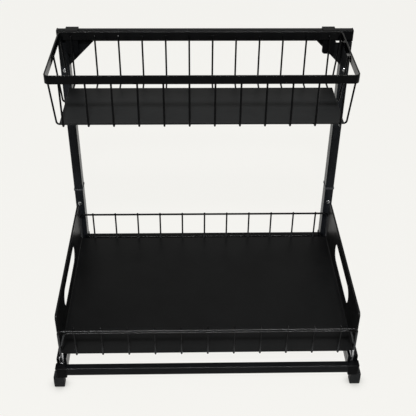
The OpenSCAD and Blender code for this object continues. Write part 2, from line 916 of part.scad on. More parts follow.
// One wire under the floor plate, its legs leaning out to the rim
module long_wire(y) {
    wire_x([-long_half, y, long_z], 2 * long_half, wire_d);
    for (s = [0, 1]) mirror([s, 0, 0])
        translate([long_half, y, long_z + wire_bend]) rotate([90, 0, 0]) {
            rotate([0, 0, -90]) rotate_extrude(angle = long_turn)
                translate([wire_bend, 0]) circle(d = wire_d);
            rotate([0, 0, -long_lean]) translate([wire_bend, -join, 0]) rotate([-90, 0, 0])
                cylinder(d = wire_d - join, h = long_leg + join);
        }
}

module basket_long_wires() {
    color(steel) translate([basket_shift, 0, 0]) for (i = [0 : long_count - 1])
        long_wire(long_first + i * long_step);
}

module basket_plate() {
    color(steel) translate([basket_shift - long_half, plate_front, plate_z + sheet]) {
        translate([0, 0, -sheet]) cube([2 * long_half, plate_d, sheet]);
        translate([0, 0, -plate_lip]) cube([2 * long_half, sheet, plate_lip]);
    }
}

// Strip bent over the bar, with round lower corners
module hook(x) {
    bar_back = upright_y + top_bar_d / 2;
    rear_in = bar_back + hook_gap;
    translate([x, 0, 0]) {
        translate([0, hook_back - hook_t / 2, rim_top - hook_front]) along_y(hook_t) difference() {
            translate([-hook_w / 2, 0]) square([hook_w, hook_front]);
            for (s = [0, 1]) mirror([s, 0]) translate([hook_w / 2, 0]) mirror([0, 1]) corner_cut(hook_round);
        }
        translate([0, rear_in + hook_t / 2, rim_top - hook_rear]) along_y(hook_t) difference() {
            translate([-hook_w / 2, 0]) square([hook_w, hook_rear]);
            for (s = [0, 1]) mirror([s, 0]) translate([hook_w / 2, 0]) mirror([0, 1]) corner_cut(hook_round);
        }
        translate([-hook_w / 2, hook_back - hook_t, frame_h])
            cube([hook_w, rear_in + 2 * hook_t - hook_back, hook_t]);
    }
}

module hook_left() {
    color(steel) hook(basket_shift - hook_x);
}

module hook_right() {
    color(steel) hook(basket_shift + hook_x);
}

front_crossbar();
rear_crossbar();
side_rail_left();
side_rail_right();
block_front_left();
block_front_right();
block_rear_left();
block_rear_right();
foot_front_left();
foot_front_right();
foot_rear_left();
foot_rear_right();
lower_leg_left();
lower_leg_right();
leg_collar_left();
leg_collar_right();
upright_left();
upright_right();
top_corner_left();
top_corner_right();
top_crossbar();
bar_cap_left();
bar_cap_right();
upright_screws();
bar_screws();
slide_outer_left();
slide_outer_right();
slide_rivets();
ball_cage_left();
ball_cage_right();
slide_balls();
slide_inner_left();
slide_inner_right();
drawer_tray();
front_fence();
back_fence();
basket_rim();
basket_u_wires();
basket_long_wires();
basket_plate();
hook_left();
hook_right();
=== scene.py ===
import math
import random
import bmesh
import bpy
from mathutils import Matrix, Vector


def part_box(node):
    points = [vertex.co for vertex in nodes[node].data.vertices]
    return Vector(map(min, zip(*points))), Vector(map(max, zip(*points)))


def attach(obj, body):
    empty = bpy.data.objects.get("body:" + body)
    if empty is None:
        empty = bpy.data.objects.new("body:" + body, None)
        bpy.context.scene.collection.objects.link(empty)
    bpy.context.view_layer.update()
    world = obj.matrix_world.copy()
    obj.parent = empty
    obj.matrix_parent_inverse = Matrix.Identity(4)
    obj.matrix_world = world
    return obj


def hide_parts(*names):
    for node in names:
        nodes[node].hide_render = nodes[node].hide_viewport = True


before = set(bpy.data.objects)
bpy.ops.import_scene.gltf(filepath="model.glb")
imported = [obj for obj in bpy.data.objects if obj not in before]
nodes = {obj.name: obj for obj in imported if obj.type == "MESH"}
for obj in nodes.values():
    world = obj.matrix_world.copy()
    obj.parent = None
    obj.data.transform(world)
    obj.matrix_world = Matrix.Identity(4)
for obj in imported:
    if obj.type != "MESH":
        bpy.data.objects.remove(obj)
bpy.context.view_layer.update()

MM = 0.001


# ---------------------------------------------------------------- materials

def new_material(name):
    mat = bpy.data.materials.new(name)
    mat.use_nodes = True
    tree = mat.node_tree
    return mat, tree, tree.nodes["Principled BSDF"]


def link(tree, a, b):
    tree.links.new(a, b)


def noise(tree, coords, scale, detail=3.0, rough=0.5):
    n = tree.nodes.new("ShaderNodeTexNoise")
    n.inputs["Scale"].default_value = scale
    n.inputs["Detail"].default_value = detail
    n.inputs["Roughness"].default_value = rough
    link(tree, coords, n.inputs["Vector"])
    return n.outputs["Fac"]


def ramp(tree, fac, stops):
    """Colour ramp with two stops of (position, colour)."""
    r = tree.nodes.new("ShaderNodeValToRGB")
    for e, (pos, col) in zip(r.color_ramp.elements, stops):
        e.position = pos
        e.color = (*col, 1.0)
    link(tree, fac, r.inputs["Fac"])
    return r.outputs["Color"]


def remap(tree, value, lo, hi, to_lo, to_hi):
    m = tree.nodes.new("ShaderNodeMapRange")
    m.inputs["From Min"].default_value = lo
    m.inputs["From Max"].default_value = hi
    m.inputs["To Min"].default_value = to_lo
    m.inputs["To Max"].default_value = to_hi
    link(tree, value, m.inputs["Value"])
    return m.outputs["Result"]


def bump(tree, bsdf, height, strength, distance, under=None):
    b = tree.nodes.new("ShaderNodeBump")
    b.inputs["Strength"].default_value = strength
    b.inputs["Distance"].default_value = distance
    link(tree, height, b.inputs["Height"])
    if under is not None:
        link(tree, under, b.inputs["Normal"])
    link(tree, b.outputs["Normal"], bsdf.inputs["Normal"])
    return b.outputs["Normal"]


def object_coords(tree):
    return tree.nodes.new("ShaderNodeTexCoord").outputs["Object"]


def math_node(tree, operation, a, b=None):
    m = tree.nodes.new("ShaderNodeMath")
    m.operation = operation
    link(tree, a, m.inputs[0])
    if b is not None:
        link(tree, b, m.inputs[1])
    return m.outputs[0]


def axes(tree, pos):
    """X, Y and Z of a position."""
    split = tree.nodes.new("ShaderNodeSeparateXYZ")
    link(tree, pos, split.inputs[0])
    return split.outputs


def adding_mix(tree, tone):
    mix = tree.nodes.new("ShaderNodeMix")
    mix.data_type = "RGBA"
    mix.blend_type = "ADD"
    link(tree, tone, mix.inputs["A"])
    return mix


def lighter_by(tree, tone, amount, colour):
    """Adds a colour where the amount says so."""
    mix = adding_mix(tree, tone)
    link(tree, amount, mix.inputs["Factor"])
    mix.inputs["B"].default_value = (*colour, 1)
    return mix.outputs["Result"]


def painted_light_front(tree, pos, tone, y_full, y_none, colour):
    """Adds a little colour towards a sheet's front edge as painted light, so that the front looks
    lit more than the rest.
    """
    amount = remap(tree, axes(tree, pos)["Y"], y_full, y_none, 1.0, 0.0)
    return lighter_by(tree, tone, amount, colour)


# Where a lighter tone is painted on the fences' wires as a highlight: the end legs, and the
# upright wires' lower ends
PAINTED_HIGHLIGHT_X = (0.184, 0.188)
PAINTED_HIGHLIGHT_LEG_Z = (0.084, 0.088)
PAINTED_HIGHLIGHT_POST_Z = (0.051, 0.068)
PAINTED_HIGHLIGHT_TONE = (0.026, 0.027, 0.028)


def painted_highlight_wires(tree, pos, tone):
    """Adds a little colour as a painted highlight on the fences' end legs and the upright wires'
    lower ends.
    """
    x, _, z = axes(tree, pos)
    outside = remap(tree, math_node(tree, "ABSOLUTE", x), *PAINTED_HIGHLIGHT_X, 0.0, 1.0)
    legs = math_node(tree, "MULTIPLY", outside, remap(tree, z, *PAINTED_HIGHLIGHT_LEG_Z, 1.0, 0.0))
    wires = math_node(tree, "MAXIMUM", legs, remap(tree, z, *PAINTED_HIGHLIGHT_POST_Z, 1.0, 0.0))
    return lighter_by(tree, tone, wires, PAINTED_HIGHLIGHT_TONE)


SPECK = (0.03, 0.03, 0.032)
SPECK_SHARE = 0.5


def powder_coat(name, dark, light, rough, specular, grain=1.0, front=None, painted_highlight=False):
    """Satin black powder coat: fine orange peel, faint cloudiness and a few brighter specks, with
    painted light towards a sheet's front and a painted highlight on fence wires where asked for.
    """
    mat, tree, bsdf = new_material(name)
    pos = object_coords(tree)
    cloud = noise(tree, pos, 9.0, 4.0, 0.6)
    speck = noise(tree, pos, 2600.0, 1.0)
    add = adding_mix(tree, ramp(tree, cloud, [(0.3, dark), (0.72, light)]))
    add.inputs["Factor"].default_value = SPECK_SHARE
    link(tree, ramp(tree, speck, [(0.7, (0, 0, 0)), (0.82, SPECK)]), add.inputs["B"])
    tone = add.outputs["Result"]
    # painted light: a lighter tone towards the sheet's front edge
    if front is not None:
        tone = painted_light_front(tree, pos, tone, *front)
    # painted highlight on the fence wires' end legs and lower ends
    if painted_highlight:
        tone = painted_highlight_wires(tree, pos, tone)
    link(tree, tone, bsdf.inputs["Base Color"])
    link(tree, remap(tree, noise(tree, pos, 55.0, 4.0), 0.3, 0.7, rough - 0.05, rough + 0.06),
         bsdf.inputs["Roughness"])
    bsdf.inputs["Specular IOR Level"].default_value = specular
    fine = bump(tree, bsdf, noise(tree, pos, 1500.0, 2.0), 0.16 * grain, 0.0002)
    bump(tree, bsdf, noise(tree, pos, 420.0, 2.0), 0.10 * grain, 0.0004, fine)
    return mat


def moulded(name, dark, light, rough, specular, grain=1.0):
    """Moulded plastic with a fine spark-eroded grain."""
    mat, tree, bsdf = new_material(name)
    pos = object_coords(tree)
    link(tree, ramp(tree, noise(tree, pos, 60.0, 4.0, 0.6), [(0.3, dark), (0.7, light)]),
         bsdf.inputs["Base Color"])
    link(tree, remap(tree, noise(tree, pos, 300.0, 3.0), 0.3, 0.7, rough - 0.05, rough + 0.07),
         bsdf.inputs["Roughness"])
    bsdf.inputs["Specular IOR Level"].default_value = specular
    vor = tree.nodes.new("ShaderNodeTexVoronoi")
    vor.inputs["Scale"].default_value = 2200.0
    link(tree, pos, vor.inputs["Vector"])
    bump(tree, bsdf, vor.outputs["Distance"], 0.22 * grain, 0.00015)
    return mat


def zinc(name, dark, light, rough_lo, rough_hi):
    """Bright zinc plating: brushed along the strip, with faint bluish clouds."""
    mat, tree, bsdf = new_material(name)
    pos = object_coords(tree)
    stretch = tree.nodes.new("ShaderNodeMapping")
    stretch.inputs["Scale"].default_value = (900.0, 25.0, 900.0)
    link(tree, pos, stretch.inputs["Vector"])
    brush = noise(tree, stretch.outputs["Vector"], 1.0, 3.0)
    link(tree, ramp(tree, noise(tree, pos, 45.0, 3.0), [(0.3, dark), (0.7, light)]),
         bsdf.inputs["Base Color"])
    bsdf.inputs["Metallic"].default_value = 1.0
    link(tree, remap(tree, brush, 0.3, 0.7, rough_lo, rough_hi), bsdf.inputs["Roughness"])
    bump(tree, bsdf, brush, 0.12, 0.0001)
    return mat


STAND_COAT = powder_coat(
    "stand_coat", (0.0034, 0.0037, 0.0042), (0.0058, 0.0062, 0.0069), 0.20, 0.045)
# a lighter, bluer copy of the stand coat: painted light standing in for the uprights' bluish
# reflections
UPRIGHT_LIT_COAT = powder_coat(
    "upright_lit_coat", (0.0072, 0.0081, 0.0098), (0.0110, 0.0122, 0.0144), 0.24, 0.045)
RAIL_COAT = powder_coat(
    "rail_coat", (0.0013, 0.0015, 0.0018), (0.0026, 0.0029, 0.0034), 0.16, 0.06)
TOP_COAT = powder_coat(
    "top_coat", (0.0018, 0.0019, 0.0022), (0.0030, 0.0032, 0.0037), 0.17, 0.022)
# the tray's front lip gets painted light, a lighter tone along its front edge
DRAWER_SHEET = powder_coat(
    "drawer_sheet_coat", (0.0036, 0.0037, 0.0038), (0.0062, 0.0064, 0.0066), 0.34, 0.05, 0.8,
    front=(-0.122, -0.108, (0.0042, 0.0043, 0.0043)))
# the plate's base is darkened as painted shade over its rear part, and its front part gets painted
# light
PLATE_SHEET = powder_coat(
    "plate_sheet_coat", (0.0026, 0.0028, 0.0030), (0.0050, 0.0052, 0.0054), 0.34, 0.04, 0.8,
    front=(0.052, 0.090, (0.0106, 0.0110, 0.0112)))
# the fence wires carry the painted highlight on their end legs and lower ends
WIRE_COAT = powder_coat(
    "wire_coat", (0.0026, 0.0028, 0.0031), (0.0040, 0.0042, 0.0046), 0.17, 0.085, 0.6,
    painted_highlight=True)
# a darker copy of the wire coat: its darker base is painted shade on the back fence, while its
# lower gloss comes from roughness and specular
REAR_WIRE_SHADED_COAT = powder_coat(
    "rear_wire_shaded_coat", (0.0014, 0.0015, 0.0017), (0.0024, 0.0025, 0.0028), 0.34, 0.02, 0.6,
    painted_highlight=True)
# a darker copy of the stand coat: painted shade, as the rear crossbar lies in the tray's shadow
REAR_BAR_SHADED_COAT = powder_coat(
    "rear_bar_shaded_coat", (0.0006, 0.0007, 0.0008), (0.0010, 0.0011, 0.0012), 0.20, 0.045)
BASKET_COAT = powder_coat(
    "basket_coat", (0.0010, 0.0011, 0.0013), (0.0018, 0.0019, 0.0022), 0.11, 0.05, 0.7)
BLACK_PLASTIC = moulded(
    "black_plastic", (0.0026, 0.0029, 0.0034), (0.0048, 0.0053, 0.0060), 0.34, 0.05)
BLOCK_PLASTIC = moulded(
    "block_plastic", (0.0011, 0.0012, 0.0014), (0.0022, 0.0024, 0.0028), 0.40, 0.028)
# the leg collars' light colour is a painted highlight along the joint; their higher gloss comes
# from specular
COLLAR_HIGHLIGHT_PLASTIC = moulded(
    "collar_highlight_plastic", (0.030, 0.032, 0.036), (0.042, 0.044, 0.048), 0.34, 0.16)
FOOT_RUBBER = moulded(
    "foot_rubber", (0.0075, 0.0081, 0.0088), (0.0120, 0.0128, 0.0136), 0.58, 0.07, 1.4)
ZINC = zinc("bright_zinc", (0.40, 0.41, 0.43), (0.52, 0.52, 0.53), 0.22, 0.38)
SCREW_ZINC = zinc("screw_zinc", (0.20, 0.205, 0.21), (0.29, 0.293, 0.30), 0.16, 0.26)

LOOKS = {
    "drawer_tray": DRAWER_SHEET, "basket_plate": PLATE_SHEET,
    "front_fence": WIRE_COAT, "back_fence": REAR_WIRE_SHADED_COAT, "rear_crossbar": REAR_BAR_SHADED_COAT,
    "basket_u_wires": BASKET_COAT, "basket_long_wires": BASKET_COAT, "basket_rim": BASKET_COAT,
    "top_crossbar": TOP_COAT, "slide_balls": ZINC, "slide_rivets": ZINC,
}
LOOKS_BY_START = (
    (("block_",), BLOCK_PLASTIC),
    (("bar_cap", "top_corner"), BLACK_PLASTIC),
    (("leg_collar",), COLLAR_HIGHLIGHT_PLASTIC),
    (("foot_",), FOOT_RUBBER),
    (("slide_inner", "ball_cage"), ZINC),
    (("side_rail", "slide_outer"), RAIL_COAT),
    (("upright_", "lower_leg"), UPRIGHT_LIT_COAT),
)


def look_of(name):
    if name in LOOKS:
        return LOOKS[name]
    for starts, look in LOOKS_BY_START:
        if name.startswith(starts):
            return look
    return STAND_COAT


for name, obj in nodes.items():
    for s in obj.material_slots:
        s.material = look_of(name)


# ------------------------------------------------ rounded edges on carried-over pieces

SHARP_ANGLE = 35  # in degrees; edges sharper than this stay sharp or get a bevel


def round_edges(obj, width, segments=2, angle=None):
    """Bevels the edges sharper than an angle in degrees, or than the modifier's own limit."""
    bev = obj.modifiers.new("edges", "BEVEL")
    bev.width = width
    bev.segments = segments
    if angle is not None:
        bev.limit_method = "ANGLE"
        bev.angle_limit = math.radians(angle)
    return bev


def soften(name, width, segments=2, angle=SHARP_ANGLE):
    """Fine rounding on a carried-over piece, with its split vertices merged first."""
    obj = nodes[name]
    weld = obj.modifiers.new("weld", "WELD")
    weld.merge_threshold = 0.01 * MM
    bev = round_edges(obj, width, segments, angle)
    bev.harden_normals = True
    bev.use_clamp_overlap = True


for name in nodes:
    if name.startswith(("block_", "top_corner")):
        soften(name, 0.5 * MM, 3)
    elif name.startswith(("bar_cap", "leg_collar")):
        soften(name, 0.25 * MM)
    elif name.startswith("foot_"):
        soften(name, 0.5 * MM, 3, 20)
    elif name == "basket_rim":
        soften(name, 0.4 * MM, 3)
    elif name in ("drawer_tray", "basket_plate"):
        soften(name, 0.25 * MM)


# ---------------------------------------------------------------- added pieces

def new_piece(name, bm, mat, body):
    """Turns a bmesh into a smooth-shaded piece that rides on a body."""
    bmesh.ops.recalc_face_normals(bm, faces=bm.faces)
    for f in bm.faces:
        f.smooth = True
    for e in bm.edges:
        if len(e.link_faces) == 2 and e.calc_face_angle() > math.radians(SHARP_ANGLE):
            e.smooth = False
    mesh = bpy.data.meshes.new(name)
    bm.to_mesh(mesh)
    bm.free()
    obj = bpy.data.objects.new(name, mesh)
    bpy.context.collection.objects.link(obj)
    mesh.materials.append(mat)
    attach(obj, body)
    return obj


def lathe(bm, profile, at, axis, steps=40):
    """Turns (radius, height) points about an axis through a point and returns the rings."""
    side = axis.orthogonal().normalized()
    other = axis.cross(side)
    rings = []
    for r, h in profile:
        ring = []
        for i in range(steps):
            a = 2 * math.pi * i / steps
            out = math.cos(a) * side + math.sin(a) * other
            ring.append(bm.verts.new(at + h * axis + r * out))
        rings.append(ring)
    for lo, hi in zip(rings, rings[1:]):
        for i in range(steps):
            j = (i + 1) % steps
            bm.faces.new((lo[i], lo[j], hi[j], hi[i]))
    return rings


HEAD_R, HEAD_H, SHANK_R = 3.1 * MM, 1.7 * MM, 1.9 * MM
HEAD_RIM, HEAD_CROWN = 0.55, 0.45  # shares of the head's height
RECESS_ARM, RECESS_WAIST, RECESS_DEEP = 1.75 * MM, 0.42 * MM, 1.15 * MM
UPRIGHT_SHANK, BAR_SHANK = 6.5 * MM, 4.3 * MM


def cross_outline(turn):
    """Outline of a cross recess, its twelve corners in order, turned by an angle."""
    a, w = RECESS_ARM, RECESS_WAIST
    quarter = [(a, -w), (a, w), (w, w)]
    points = []
    for k in range(4):
        c, s = math.cos(k * math.pi / 2 + turn), math.sin(k * math.pi / 2 + turn)
        points += [(c * x - s * y, s * x + c * y) for x, y in quarter]
    return points


def add_screw(bm, seat, axis, shank, turn):
    """Pan-head screw with a cross recess; the head rests on the seat and points along the axis."""
    side = axis.orthogonal().normalized()
    other = axis.cross(side)
    dome = [(HEAD_R * math.sin(t), HEAD_H * (HEAD_RIM + HEAD_CROWN * math.cos(t)))
            for t in (math.radians(d) for d in range(90, 44, -9))]
    profile = [(SHANK_R, -shank), (SHANK_R, 0),
               (HEAD_R * 0.97, 0), (HEAD_R, HEAD_H * 0.12)] + dome
    rings = lathe(bm, profile, seat, axis)
    bm.faces.new(list(reversed(rings[0])))
    steps = len(rings[-1])
    top_r = profile[-1][0]
    cross = cross_outline(turn)

    def lift(r):
        """Height of the dome at a distance from its middle."""
        return HEAD_H * (HEAD_RIM + HEAD_CROWN * math.sqrt(max(0.0, 1 - (r / HEAD_R) ** 2)))

    def reach(angle):
        """Distance from the middle to the recess outline in a direction."""
        best = None
        dx, dy = math.cos(angle), math.sin(angle)
        for (x0, y0), (x1, y1) in zip(cross, cross[1:] + cross[:1]):
            ex, ey = x1 - x0, y1 - y0
            det = dx * ey - dy * ex
            if abs(det) < 1e-12:
                continue
            t = (x0 * ey - y0 * ex) / det
            u = (x0 * dy - y0 * dx) / det
            if t > 0 and -1e-6 <= u <= 1 + 1e-6 and (best is None or t < best):
                best = t
        return best

    count = steps * 3
    angles = [2 * math.pi * i / count for i in range(count)]

    def ring_of(radius_at, height_at):
        ring = []
        for ang in angles:
            r = radius_at(ang)
            ring.append(bm.verts.new(seat + height_at(r) * axis
                                     + r * (math.cos(ang) * side + math.sin(ang) * other)))
        return ring

    outer = ring_of(lambda ang: top_r * 0.999, lift)
    lip = ring_of(reach, lift)
    deep = ring_of(lambda ang: reach(ang) * 0.8, lambda r: HEAD_H - RECESS_DEEP)
    for lo, hi in ((outer, lip), (lip, deep)):
        for i in range(count):
            j = (i + 1) % count
            bm.faces.new((lo[i], lo[j], hi[j], hi[i]))
    bm.faces.new(deep)
    for i in range(steps):
        j = (i + 1) % steps
        a, b = rings[-1][i], rings[-1][j]
        k = 3 * i
        bm.faces.new((a, b, outer[(k + 3) % count], outer[k + 2], outer[k + 1], outer[k]))


def build_screws():
    lo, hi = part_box("upright_screws")
    front = Vector((0, -1, 0))
    bm = bmesh.new()
    turns = {(-1, 0): 0.3, (-1, 1): 1.0, (1, 0): 0.65, (1, 1): 0.15}
    for sx in (-1, 1):
        for k, z in enumerate((lo.z + HEAD_R, hi.z - HEAD_R)):
            seat = Vector((sx * (hi.x - HEAD_R), lo.y + HEAD_H, z))
            add_screw(bm, seat, front, UPRIGHT_SHANK, turns[(sx, k)])
    screws = new_piece("upright_screw_set", bm, SCREW_ZINC, "frame")
    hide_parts("upright_screws")
    lo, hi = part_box("bar_screws")
    bm = bmesh.new()
    for sx in (-1, 1):
        seat = Vector((sx * (hi.x - HEAD_R), hi.y - HEAD_H, (lo.z + hi.z) / 2))
        add_screw(bm, seat, Vector((0, 1, 0)), BAR_SHANK, 0.4 + 0.3 * sx)
    screws = new_piece("bar_screw_set", bm, SCREW_ZINC, "frame")
    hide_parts("bar_screws")


HOOK_SHEET, HOOK_BEND, HOOK_CORNER, HOOK_REAR = 2 * MM, 2.2 * MM, 4 * MM, 15 * MM
LEG_STEPS, TOP_STEPS, REAR_STEPS, ARC_STEPS = 14, 6, 8, 8


def build_hook(node):
    """Strip of 2 mm sheet bent over the bar with real bend radii and round lower corners."""
    lo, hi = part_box(node)
    half = HOOK_SHEET / 2
    y0, y1, top = lo.y + half, hi.y - half, hi.z - half
    shoulder = top - HOOK_BEND
    quarter = [math.pi / 2 * i / ARC_STEPS for i in range(ARC_STEPS + 1)]
    rear_end = hi.z - HOOK_REAR

    # middle line in Y and Z: up the front, over the bar, down the rear
    line = [(y0, lo.z + (shoulder - lo.z) * i / LEG_STEPS) for i in range(LEG_STEPS)]
    line += [(y0 + HOOK_BEND - HOOK_BEND * math.cos(a), shoulder + HOOK_BEND * math.sin(a))
             for a in quarter]
    line += [(y0 + HOOK_BEND + (y1 - y0 - 2 * HOOK_BEND) * i / TOP_STEPS, top)
             for i in range(1, TOP_STEPS)]
    line += [(y1 - HOOK_BEND + HOOK_BEND * math.sin(a), shoulder + HOOK_BEND * math.cos(a))
             for a in quarter]
    line += [(y1, shoulder - (shoulder - rear_end) * i / REAR_STEPS)
             for i in range(1, REAR_STEPS + 1)]

    # columns across the strip, close together where the lower corners are round
    front_end = line[0][1]
    flat = (hi.x - lo.x) / 2 - HOOK_CORNER
    cols = [flat + HOOK_CORNER * math.sin(a) for a in quarter]
    xs = [-c for c in reversed(cols)] + [flat * k / 3 for k in (-2, -1, 0, 1, 2)] + cols
    bm = bmesh.new()
    grid = []
    for x in xs:
        out = max(0.0, abs(x) - flat)
        keep = math.sqrt(max(0.0, HOOK_CORNER ** 2 - out ** 2)) / HOOK_CORNER
        col = []
        for y, z in line:
            if y == y0 and z < front_end + HOOK_CORNER:
                z = front_end + HOOK_CORNER - (front_end + HOOK_CORNER - z) * keep
            if abs(y - y1) < 1e-9 and z < rear_end + HOOK_CORNER:
                z = rear_end + HOOK_CORNER - (rear_end + HOOK_CORNER - z) * keep
            col.append(bm.verts.new(((lo.x + hi.x) / 2 + x, y, z)))
        grid.append(col)
    for a, b in zip(grid, grid[1:]):
        for i in range(len(line) - 1):
            bm.faces.new((a[i], a[i + 1], b[i + 1], b[i]))
    bmesh.ops.remove_doubles(bm, verts=bm.verts, dist=1e-6)
    hook = new_piece(node + "_strip", bm, TOP_COAT, "basket")
    solid = hook.modifiers.new("sheet", "SOLIDIFY")
    solid.thickness = HOOK_SHEET
    solid.offset = 0
    round_edges(hook, 0.35 * MM, 3, 50)
    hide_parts(node)


def add_bead(bm, rng, at, size):
    """Small lumpy weld nugget; its half sizes are in mm."""
    made = bmesh.ops.create_icosphere(bm, subdivisions=2, radius=1.0)["verts"]
    sx, sy, sz = (v * MM for v in size)
    spin = rng.uniform(0, math.tau)
    for v in made:
        p = v.co
        wave = 0.10 * math.sin(3 * p.x + spin) * math.cos(4 * p.y - spin)
        lump = 1 + wave + rng.uniform(-0.04, 0.04)
        v.co = Vector((p.x * sx * lump, p.y * sy * lump, p.z * sz * lump)) + Vector(at)


# Fences: upright wires, rail and second wire
POST_COUNT, POST_END, POST_R = 11, 23 * MM, 1.25 * MM
RAIL_DROP = 3.9 * MM  # the rail's middle line below the wires' tips
STAY_DROP = 3.8 * MM  # the second wire below the rail
POST_INSET = 5.2 * MM  # from the fence's outer face to the inner side of the upright wires
WELD_INSET = 3 * MM  # from the fence's outer face to the welds on the rail
FOOT_INSET, FOOT_RISE = 3 * MM, 2.2 * MM  # welds on the tray, from the inner face and low edge
RAIL_BEAD, STAY_BEAD, FOOT_BEAD = (1.5, 0.8, 1.3), (1.4, 0.7, 1.1), (1.5, 2.4, 0.6)

# Basket: wires and rim
U_COUNT, LONG_COUNT, BASKET_WIRE_R, RIM_SHEET = 12, 3, 1.25 * MM, 2 * MM
CROSS_BEAD, RIM_BEAD, SIDE_BEAD = (1.5, 1.5, 0.7), (1.5, 0.7, 1.5), (0.6, 1.3, 1.2)
LOW_WELD, SIDE_WELD = 1.6 * MM, 2.5 * MM  # above the rim's lower edge
HIGH_WELD = 0.8 * MM  # below the wires' ends


def post_places():
    """X of the fences' upright wires."""
    lo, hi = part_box("drawer_tray")
    step = (hi.x - lo.x - 2 * POST_END) / (POST_COUNT - 1)
    return [lo.x + POST_END + i * step for i in range(POST_COUNT)]


def build_welds():
    rng = random.Random(11)
    posts = post_places()
    bm = bmesh.new()
    lo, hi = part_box("front_fence")
    rail_z = hi.z - RAIL_DROP
    face = lo.y + WELD_INSET
    for x in posts:
        add_bead(bm, rng, (x, face, rail_z), RAIL_BEAD)
        add_bead(bm, rng, (x, face + 0.1 * MM, rail_z - STAY_DROP), STAY_BEAD)
        add_bead(bm, rng, (x, hi.y - FOOT_INSET, lo.z + FOOT_RISE), FOOT_BEAD)
    new_piece("front_fence_welds", bm, WIRE_COAT, "drawer")
    bm = bmesh.new()
    lo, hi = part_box("back_fence")
    for x in posts:
        add_bead(bm, rng, (x, hi.y - WELD_INSET, rail_z), RAIL_BEAD)
        add_bead(bm, rng, (x, lo.y + FOOT_INSET, lo.z + FOOT_RISE), FOOT_BEAD)
    new_piece("back_fence_welds", bm, REAR_WIRE_SHADED_COAT, "drawer")

    rim_lo, rim_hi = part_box("basket_rim")
    u_lo, u_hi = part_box("basket_u_wires")
    l_lo, l_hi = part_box("basket_long_wires")
    r = BASKET_WIRE_R
    u_step = (u_hi.x - u_lo.x - 2 * r) / (U_COUNT - 1)
    l_step = (l_hi.y - l_lo.y - 2 * r) / (LONG_COUNT - 1)
    long_y = [l_lo.y + r + k * l_step for k in range(LONG_COUNT)]
    cross_z = l_lo.z - 0.05 * MM
    bm = bmesh.new()
    for i in range(U_COUNT):
        x = u_lo.x + r + i * u_step
        for y in long_y:
            add_bead(bm, rng, (x, y, cross_z), CROSS_BEAD)
        for y in (rim_lo.y + RIM_SHEET, rim_hi.y - RIM_SHEET):
            for z in (rim_lo.z + LOW_WELD, u_hi.z - HIGH_WELD):
                add_bead(bm, rng, (x, y, z), RIM_BEAD)
    for y in long_y:
        for x in (rim_lo.x + RIM_SHEET, rim_hi.x - RIM_SHEET):
            add_bead(bm, rng, (x, y, rim_lo.z + SIDE_WELD), SIDE_BEAD)
    new_piece("basket_welds", bm, BASKET_COAT, "basket")


# Domed end of an upright wire: radius as a share of the wire's, height in mm over its end
TIP = ((1.015, -1.2), (1.03, -0.5), (1.02, -0.12), (0.93, 0.16),
       (0.72, 0.34), (0.4, 0.44), (0.1, 0.47))


def build_wire_tips():
    """Slightly domed ends of the upright wires, with the coating built up round the edge."""
    profile = [(POST_R * share, height * MM) for share, height in TIP]
    for node, name, coat in (("front_fence", "front_wire_tips", WIRE_COAT),
                             ("back_fence", "back_wire_tips", REAR_WIRE_SHADED_COAT)):
        lo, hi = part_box(node)
        inset = POST_INSET - POST_R
        y = lo.y + inset if node == "front_fence" else hi.y - inset
        bm = bmesh.new()
        for x in post_places():
            rings = lathe(bm, profile, Vector((x, y, hi.z)), Vector((0, 0, 1)), 20)
            bm.faces.new(rings[-1])
            bm.faces.new(list(reversed(rings[0])))
        new_piece(name, bm, coat, "drawer")


def add_block(bm, lo, hi):
    v = [bm.verts.new((x, y, z))
         for x in (lo[0], hi[0]) for y in (lo[1], hi[1]) for z in (lo[2], hi[2])]
    for f in ((0, 1, 3, 2), (4, 6, 7, 5), (0, 4, 5, 1), (2, 3, 7, 6), (0, 2, 6, 4), (1, 5, 7, 3)):
        bm.faces.new([v[i] for i in f])


def add_strip(bm, line, width, y0, y1):
    """Flat strip that stands in the front plane, along (x, z) points."""
    half = width / 2
    section = ((-half, y0), (half, y0), (half, y1), (-half, y1))
    rows = [[bm.verts.new((x + dx, y, z)) for dx, y in section] for x, z in line]
    for a, b in zip(rows, rows[1:]):
        for i in range(4):
            j = (i + 1) % 4
            bm.faces.new((a[i], a[j], b[j], b[i]))
    bm.faces.new(rows[0])
    bm.faces.new(rows[-1])


def add_profile(bm, outline, x0, x1):
    """Solid with an outline of (y, z) points, drawn along X."""
    ends = [[bm.verts.new((x, y, z)) for y, z in outline] for x in (x0, x1)]
    for i in range(len(outline)):
        j = (i + 1) % len(outline)
        bm.faces.new((ends[0][i], ends[0][j], ends[1][j], ends[1][i]))
    for ring in ends:
        bm.faces.new(ring)


# Per side, in mm from the slide's middle and base: the tab's place across the slide, its lean,
# and the upper and lower end (x, height) of the spring arm
SLIDE_TABS = {"left": (2.3, -0.6, (-2.2, 13.0), (-2.3, 1.2)),
              "right": (-1.0, 0.6, (-5.9, 20.0), (-2.2, 6.5))}
TAB_W, ARM_W, TAB_T, STOP_T = 1.9 * MM, 1.05 * MM, 0.7 * MM, 0.35 * MM
TAB_LINE = ((-1, 0.9), (0, 10.0), (1, 19.5), (1.1, 20.5))  # halves of the lean, height in mm


